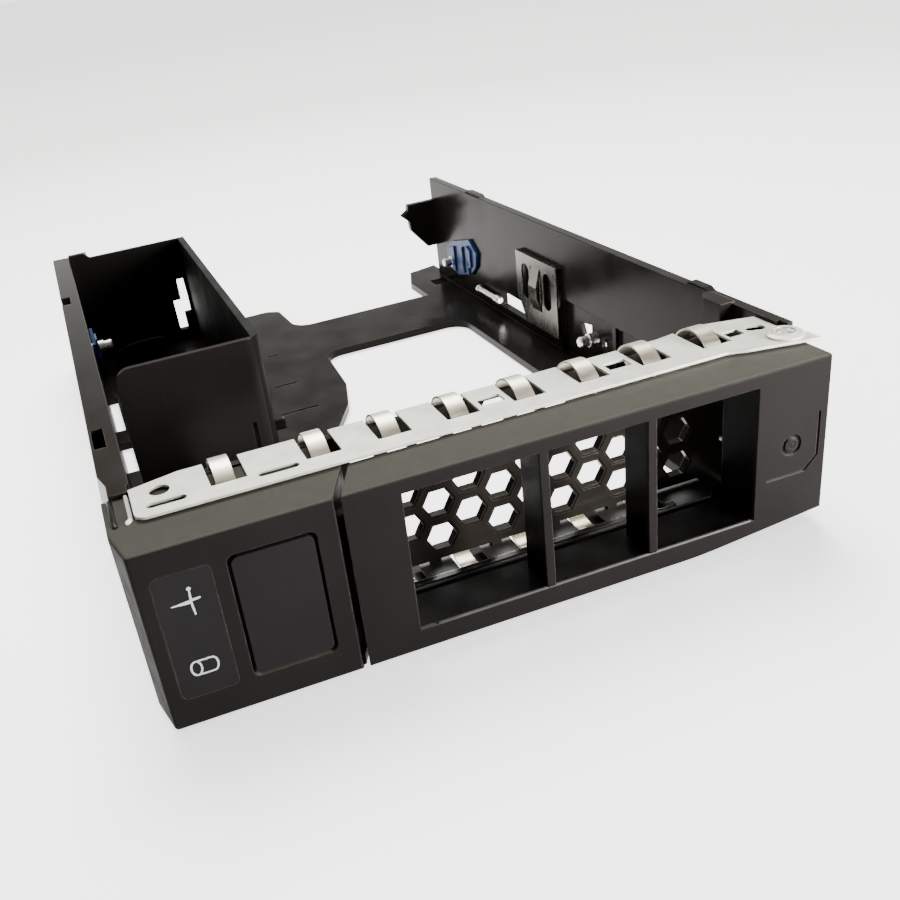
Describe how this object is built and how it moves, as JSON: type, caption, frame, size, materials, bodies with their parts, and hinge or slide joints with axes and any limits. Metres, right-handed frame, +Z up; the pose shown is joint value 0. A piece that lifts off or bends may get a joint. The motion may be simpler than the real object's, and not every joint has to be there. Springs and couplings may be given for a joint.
{
  "type": "hot swap drive caddy",
  "caption": "Drive tray with side rails, honeycomb front wall, swinging pull handle, release button and a filler box that seats a narrower drive.",
  "frame": {"origin": "centre of the footprint, on the underside of the floor plate", "axes": "+X to the right seen from the front, +Y towards the rear end that enters the bay, +Z up"},
  "size_m": [0.1094, 0.17, 0.031],
  "materials": {
    "tray_plastic": "satin",
    "box_plastic": "semi-gloss",
    "bezel_plastic": "fine matte texture",
    "handle_plastic": "fine matte texture",
    "button_plastic": "fine matte texture",
    "panel_plastic": "smooth, white printed symbols",
    "pipe_plastic": "clear, slightly milky",
    "plated_sheet": "matte plated",
    "finger_steel": "polished spring steel",
    "pin_steel": "turned",
    "spring_steel": "drawn wire",
    "clip_plastic": "satin blue",
    "clip_steel": "bright sheet"
  },
  "bodies": {
    "caddy": {"tray_frame": "tray_plastic", "adapter_box": "box_plastic", "bezel_body": "bezel_plastic", "catch_spring": "clip_steel", "indicator_panel": "panel_plastic", "lower_light_pipe": "pipe_plastic", "upper_light_pipe": "pipe_plastic", "top_shield": "plated_sheet", "top_fingers": "finger_steel", "bottom_shield": "plated_sheet", "bottom_fingers": "finger_steel", "pivot_pin": "pin_steel", "right_rear_pin": "pin_steel", "right_front_pin": "pin_steel", "left_rear_pin": "pin_steel", "right_pin_clip": "clip_plastic", "left_pin_clip": "clip_plastic", "grounding_clip": "clip_steel", "button_spring": "spring_steel", "handle_spring": "spring_steel"},
    "handle": {"latch_handle": "handle_plastic"},
    "button": {"release_button": "button_plastic"}
  },
  "joints": [
    {"name": "handle_swing", "type": "hinge", "parent": "caddy", "child": "handle", "pos_m": [0.0513, -0.0763, 0.014], "axis": [0, 0, 1], "range_deg": [0, 55], "deforming": ["catch_spring", "handle_spring"]},
    {"name": "button_press", "type": "slide", "parent": "caddy", "child": "button", "axis": [0, 1, 0], "range_m": [0, 0.002], "stiffness_N_per_m": 400, "springref_m": -0.002, "deforming": ["button_spring"]}
  ]
}
